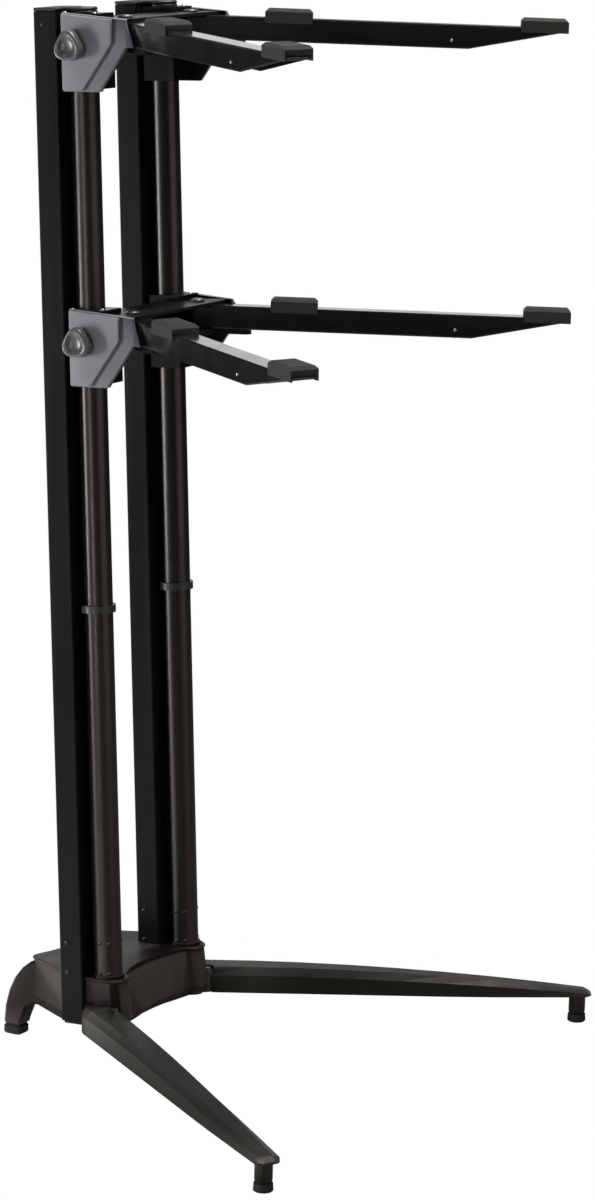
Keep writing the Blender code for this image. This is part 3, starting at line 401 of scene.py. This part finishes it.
def round_tube(word, side):
    """The same tube as the CAD node, truly round, with a small chamfer on its ends."""
    node = word + "_column_tube"
    chamfered = TUBE_RADIUS - TUBE_CHAMFER
    profile = [(TUBE_BORE_RADIUS, TUBE_BOTTOM), (chamfered, TUBE_BOTTOM),
               (TUBE_RADIUS, TUBE_BOTTOM + TUBE_CHAMFER), (TUBE_RADIUS, TUBE_TOP - TUBE_CHAMFER),
               (chamfered, TUBE_TOP), (TUBE_BORE_RADIUS, TUBE_TOP)]
    rings = [[column_point(side * COLUMN_X + x, y, height) for x, y in circle(radius, TUBE_STEPS)]
             for radius, height in profile]
    tube = skinned(node + "_round", rings, TURNED_ANGLE, closed=True)
    tube.data.materials.append(COLUMN)
    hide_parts(node)
    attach(tube, "base")


for side_word, side_sign in SIDES.items():
    round_tube(side_word, side_sign)


# Clamp knobs

KNOB_Y = -5 * MM                    # of its axis, in front of the tube's
KNOB_RADIUS = 17.9 * MM             # midway between the lobes and the hollows
KNOB_LOBE = 1.9 * MM
KNOB_LOBES = 3
KNOB_NECK_RADIUS = 9 * MM
KNOB_NECK = 3 * MM                  # height where the neck ends
KNOB_RIM = 16 * MM                  # height of the rim
KNOB_STEPS = 72
# Height in mm from the neck's end and from the rim, share of the radius, share of the lobes
KNOB_SKIRT = ((0.1, 0.90, 1), (0.6, 0.955, 1), (1.6, 0.99, 1), (3.0, 1.0, 1))
KNOB_FACE = (
    (-3.6, 1.0, 1), (-1.9, 0.985, 1), (-0.8, 0.945, 1), (-0.15, 0.88, 0.95), (0.0, 0.82, 0.9),
    (-0.1, 0.76, 0.8), (-0.5, 0.70, 0.6), (-1.5, 0.62, 0.35), (-2.6, 0.53, 0.2),
    (-3.5, 0.42, 0.1), (-4.1, 0.29, 0), (-4.4, 0.15, 0), (-4.5, 0.05, 0))


def knob_ring(height, size, lobes):
    ring = []
    for angle in around(KNOB_STEPS):
        lobe = KNOB_LOBE * lobes * cos(KNOB_LOBES * (angle - pi / 2))
        radius = (KNOB_RADIUS + lobe) * size
        ring.append((height, radius * cos(angle), radius * sin(angle)))
    return ring


def clamp_knob(tier, word):
    """The three-lobed knob on its round neck, with a round rim and a dished face."""
    node = "tier_%s_%s_knob" % (tier, word)
    side = SIDES[word]
    low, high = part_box(node)
    inner = low[0] if side > 0 else high[0]
    neck = circle(KNOB_NECK_RADIUS, KNOB_STEPS)
    rings = [[(height, y, z) for y, z in neck] for height in (0, KNOB_NECK)]
    rings += [knob_ring(KNOB_NECK + height * MM, size, lobes) for height, size, lobes in KNOB_SKIRT]
    rings += [knob_ring(KNOB_RIM + height * MM, size, lobes) for height, size, lobes in KNOB_FACE]
    knob = skinned(node + "_moulded", rings, KNOB_ANGLE, capped=True)
    centre = column_point(0, KNOB_Y, TIER_HEIGHTS[tier])
    turn = Matrix.Rotation(-LEAN, 4, "X") @ Matrix.Rotation(0 if side > 0 else pi, 4, "Z")
    knob.data.transform(Matrix.Translation((inner, centre[1], centre[2])) @ turn)
    knob.data.materials.append(KNOB)
    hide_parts(node)
    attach(knob, node)


for tier_name in TIER_HEIGHTS:
    for side_word in SIDES:
        clamp_knob(tier_name, side_word)


# Small fasteners

SCREW_SUNK = 1.2 * MM               # below the surface
SCREW_STEPS = 24

CHANNEL_SCREW_RADIUS = 3.0 * MM
CHANNEL_SCREW_Y = 41 * MM
FOOT_SCREW_HEIGHTS = (("lower", 115 * MM), ("upper", 153 * MM))
TUBE_SCREW_RADIUS = 2.6 * MM
TUBE_SCREW_ANGLES = (-38, 2, 178, 218)
TOP_SCREW_RADIUS = 2.8 * MM
TOP_SCREW_Y = 39 * MM
TOP_SCREW_HEIGHT = 1285 * MM

# x, y and height above the tier's middle
JAW_SCREW_PLACE = (101 * MM, -23 * MM, 38 * MM)
JAW_SCREW_RADIUS = 3.4 * MM
PLATE_SCREW_PLACE = (114.5 * MM, 10 * MM, 39.65 * MM)
PLATE_SCREW_NORMAL = (0, -0.088, 1)
PLATE_SCREW_RADIUS = 2.3 * MM

RIVET_RADIUS = 2.0 * MM
RIVET_ALONG = 318 * MM              # from the arm's pin, near its knee
RIVET_UP = -7 * MM


def button_screw(name, place, normal, radius, body, material):
    """A domed socket screw whose head stands on the surface at a place."""
    height = radius * 0.55
    socket = radius * 0.45
    profile = [(radius * 0.9, -SCREW_SUNK), (radius, 0), (radius, height * 0.25),
               (radius * 0.86, height * 0.72), (radius * 0.62, height),
               (socket, height * 1.02), (socket * 0.98, height * 0.2)]
    rings = [[(x, y, level) for x, y in circle(size, SCREW_STEPS)] for size, level in profile]
    bottom, top = (0, 0, -SCREW_SUNK), (0, 0, height * 0.2)
    screw = skinned(name, [[bottom], *rings, [top]], TURNED_ANGLE)
    turn = Vector((0, 0, 1)).rotation_difference(normal.normalized()).to_matrix().to_4x4()
    screw.data.transform(Matrix.Translation(place) @ turn)
    screw.data.materials.append(material)
    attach(screw, body)


def add_column_screws():
    """The dark screws at each column's foot, on the channel's sides and round the tube."""
    for word, side in SIDES.items():
        for row, s in FOOT_SCREW_HEIGHTS:
            for face, x in ((1, CHANNEL_FACE_X), (-1, CHANNEL_INNER_X)):
                name = "%s_channel_screw_%s_%d" % (word, row, face)
                place = column_point(side * x, CHANNEL_SCREW_Y, s)
                button_screw(name, place, Vector((side * face, 0, 0)), CHANNEL_SCREW_RADIUS,
                             "base", DARK_STEEL)
            for number, angle in enumerate(TUBE_SCREW_ANGLES):
                name = "%s_tube_screw_%s_%d" % (word, row, number)
                turn = radians(angle)
                direction = column_direction(side * cos(turn), sin(turn), 0)
                place = column_point(side * COLUMN_X, 0, s) + direction * TUBE_RADIUS
                button_screw(name, place, direction, TUBE_SCREW_RADIUS, "base", DARK_STEEL)


def add_carriage_screws():
    """A bright screw on each jaw and each side plate, and a dark one near each column's top."""
    for word, side in SIDES.items():
        for tier, height in TIER_HEIGHTS.items():
            body = "tier_" + tier
            x, y, up = JAW_SCREW_PLACE
            button_screw("tier_%s_%s_jaw_screw" % (tier, word),
                         column_point(side * x, y, height + up), column_direction(0, 0, 1),
                         JAW_SCREW_RADIUS, body, STEEL)
            x, y, up = PLATE_SCREW_PLACE
            button_screw("tier_%s_%s_plate_screw" % (tier, word),
                         column_point(side * x, y, height + up),
                         column_direction(*PLATE_SCREW_NORMAL), PLATE_SCREW_RADIUS, body, STEEL)
        button_screw(word + "_channel_screw_top",
                     column_point(side * CHANNEL_FACE_X, TOP_SCREW_Y, TOP_SCREW_HEIGHT),
                     Vector((side, 0, 0)), TOP_SCREW_RADIUS, "base", DARK_STEEL)


def arm_place(tier, word, along, across, up):
    """A point beside an arm: along it from its pin, across it outwards, up from the tier."""
    side = SIDES[word]
    spread = ARM_SPREADS[word] * side
    x = side * ARM_PIVOT_X + along * sin(spread) + across * side * cos(spread)
    y = ARM_PIVOT_Y - along * cos(spread) + across * side * sin(spread)
    return column_point(x, y, TIER_HEIGHTS[tier] + up)


def add_arm_rivets():
    """A small rivet through both flanks of each arm near its knee."""
    for word in SIDES:
        for tier in TIER_HEIGHTS:
            body = "tier_%s_%s_arm" % (tier, word)
            for number, face in enumerate((-1, 1)):
                place = arm_place(tier, word, RIVET_ALONG, face * ARM_HALF_WIDTH, RIVET_UP)
                outwards = arm_place(tier, word, 0, face * MM, 0) - arm_place(tier, word, 0, 0, 0)
                button_screw("%s_rivet_%d" % (body, number), place, outwards, RIVET_RADIUS,
                             body, STEEL)


add_column_screws()
add_carriage_screws()
add_arm_rivets()


# Floor, lights and camera

WHITE = (1, 1, 1, 1)
FLOOR_HALF_SIZE = 12.0
FLOOR_DROP = 0.0004                 # below the feet
FLOOR_COLOUR = (0.24, 0.22, 0.20)

PATCH_LIGHT = 1.2
PATCH_COLOUR = (1.0, 0.97, 0.94, 1)
PATCH_AHEAD = (-0.55, 0.83, 0)      # from the object to the lamp at its left
PATCH_ASIDE = (0.83, 0.55, 0)
PATCH_NEAR = (0.12, 0.5)            # metres over which each side fades
PATCH_FAR = (2.6, 4.0)
PATCH_LEFT = (-0.75, -0.25)
PATCH_RIGHT = (0.35, 0.85)

ROOM_LIGHT = 0.02
ROOM_COLOUR = (1.0, 0.985, 0.97, 1)
PAPER_LIGHT = 0.95
PAPER_DIRECTION = (0.83, 0.48, 0.28)
PAPER_SIDE = (0.62, 0.86)           # over which it fades, as the cosine of its half width
PAPER_FOOT = (0.02, 0.10)
PAPER_HEAD = (0.24, 0.30)

# Name, place, target, width and height in metres, watts, colour
LAMPS = (
    ("left_key", (-1.62, 2.15, 0.60), (-0.1, 0.1, 0.95), (0.45, 1.1), 36, (0.97, 0.98, 1.0)),
    ("left_strip", (-2.1, 0.15, 0.75), (0, 0, 0.75), (0.2, 1.7), 9, (1.0, 0.97, 0.94)),
    ("overhead", (0.35, -0.3, 3.2), (0, -0.1, 0.6), (1.4, 1.4), 80, (1.0, 0.97, 0.94)),
    ("high_left", (-1.5, 1.5, 3.3), (-0.1, 0, 1.1), (0.5, 0.5), 4, (1.0, 0.99, 0.98)),
    ("rear_right", (1.5, 1.7, 1.2), (0.25, -0.2, 0.1), (1.0, 0.6), 5, (1.0, 0.98, 0.95)),
    ("front_fill", (-0.3, -3.5, 0.7), (0, 0, 0.4), (3.0, 2.0), 17, (1.0, 0.94, 0.87)))

CAMERA_PLACE = (-4.4352, -2.7594 + SHIFT_Y, 1.6579)
CAMERA_YAW = radians(30.0)
CAMERA_PITCH = radians(11.7)        # downwards
CAMERA_ROLL = radians(-1.6)
CAMERA_LENS = 129.0                 # mm, for the sensor's height below
CAMERA_SENSOR = 36.0


def seen_and_cast(tree, seen, cast):
    """Mix of what the camera sees and what the light of the room meets."""
    path = tree.nodes.new("ShaderNodeLightPath")
    mix = tree.nodes.new("ShaderNodeMixShader")
    tree.links.new(path.outputs["Is Camera Ray"], mix.inputs["Fac"])
    tree.links.new(cast, mix.inputs[1])
    tree.links.new(seen, mix.inputs[2])
    return mix.outputs[0]


def lit_patch(tree, place):
    """Strength of the floor's light: a bright paper beside the object, under the left lamp."""
    ahead = along_axis(tree, place, PATCH_AHEAD)
    aside = along_axis(tree, place, PATCH_ASIDE)
    long_way = product(tree, smooth_range(tree, ahead, PATCH_NEAR),
                       smooth_range(tree, ahead, PATCH_FAR, FALLING))
    short_way = product(tree, smooth_range(tree, aside, PATCH_LEFT),
                        smooth_range(tree, aside, PATCH_RIGHT, FALLING))
    whole = product(tree, long_way, short_way)
    return smooth_range(tree, whole, (0.0, 1.0), (0.0, PATCH_LIGHT))


def plain_floor():
    mesh = bpy.data.meshes.new("studio_floor")
    size = FLOOR_HALF_SIZE
    corners = [(-size, -size, 0), (size, -size, 0), (size, size, 0), (-size, size, 0)]
    mesh.from_pydata(corners, [], [(0, 1, 2, 3)])
    floor = linked("studio_floor", mesh)
    floor.location = (0, 0, -FLOOR_DROP)
    material, tree, shader, place = base_material("studio_floor", FLOOR_COLOUR, 0.8, specular=0.1)
    shader.inputs["Emission Color"].default_value = PATCH_COLOUR
    tree.links.new(lit_patch(tree, place), shader.inputs["Emission Strength"])
    white = tree.nodes.new("ShaderNodeEmission")
    white.inputs["Color"].default_value = WHITE
    white.inputs["Strength"].default_value = 1.0
    result = seen_and_cast(tree, white.outputs[0], shader.outputs[0])
    tree.links.new(result, tree.nodes["Material Output"].inputs["Surface"])
    mesh.materials.append(material)


def studio_world():
    """White for the eye; for the object, a dim room with a white paper hung behind it."""
    world = bpy.data.worlds.new("studio")
    bpy.context.scene.world = world
    world.use_nodes = True
    tree = world.node_tree
    room = tree.nodes["Background"]
    room.inputs["Color"].default_value = ROOM_COLOUR
    place = tree.nodes.new("ShaderNodeTexCoord").outputs["Generated"]
    paper = smooth_range(tree, along_axis(tree, place, PAPER_DIRECTION), PAPER_SIDE)
    split = tree.nodes.new("ShaderNodeSeparateXYZ")
    tree.links.new(place, split.inputs[0])
    foot = smooth_range(tree, split.outputs["Z"], PAPER_FOOT)
    head = smooth_range(tree, split.outputs["Z"], PAPER_HEAD, FALLING)
    band = product(tree, product(tree, paper, foot), head)
    strength = smooth_range(tree, band, (0.0, 1.0), (ROOM_LIGHT, PAPER_LIGHT))
    tree.links.new(strength, room.inputs["Strength"])
    white = tree.nodes.new("ShaderNodeBackground")
    white.inputs["Color"].default_value = WHITE
    white.inputs["Strength"].default_value = 1.0
    result = seen_and_cast(tree, white.outputs[0], room.outputs[0])
    tree.links.new(result, tree.nodes["World Output"].inputs["Surface"])


def area_light(name, location, target, size, power, colour):
    light = bpy.data.lights.new(name, "AREA")
    light.shape = "RECTANGLE"
    light.size, light.size_y = size
    light.energy = power
    light.color = colour
    lamp = linked(name, light)
    lamp.location = location
    aim = Vector(target) - Vector(location)
    lamp.rotation_euler = aim.to_track_quat("-Z", "Y").to_euler()


def camera_axes(yaw, pitch, roll):
    """The camera's right, up and backward directions."""
    forward = Vector((cos(yaw) * cos(pitch), sin(yaw) * cos(pitch), -sin(pitch)))
    right = forward.cross(Vector((0, 0, 1))).normalized()
    up = right.cross(forward)
    return right * cos(roll) - up * sin(roll), up * cos(roll) + right * sin(roll), -forward


def photo_camera():
    camera = bpy.data.cameras.new("photo_camera")
    camera.sensor_fit = "VERTICAL"
    camera.sensor_height = CAMERA_SENSOR
    camera.lens = CAMERA_LENS
    camera.clip_end = 100
    obj = linked("photo_camera", camera)
    turn = Matrix(camera_axes(CAMERA_YAW, CAMERA_PITCH, CAMERA_ROLL)).transposed().to_4x4()
    obj.matrix_world = Matrix.Translation(CAMERA_PLACE) @ turn
    bpy.context.scene.camera = obj


plain_floor()
studio_world()
for lamp_row in LAMPS:
    area_light(*lamp_row)
photo_camera()
bpy.context.scene.view_settings.view_transform = "Standard"
bpy.context.scene.view_settings.look = "None"
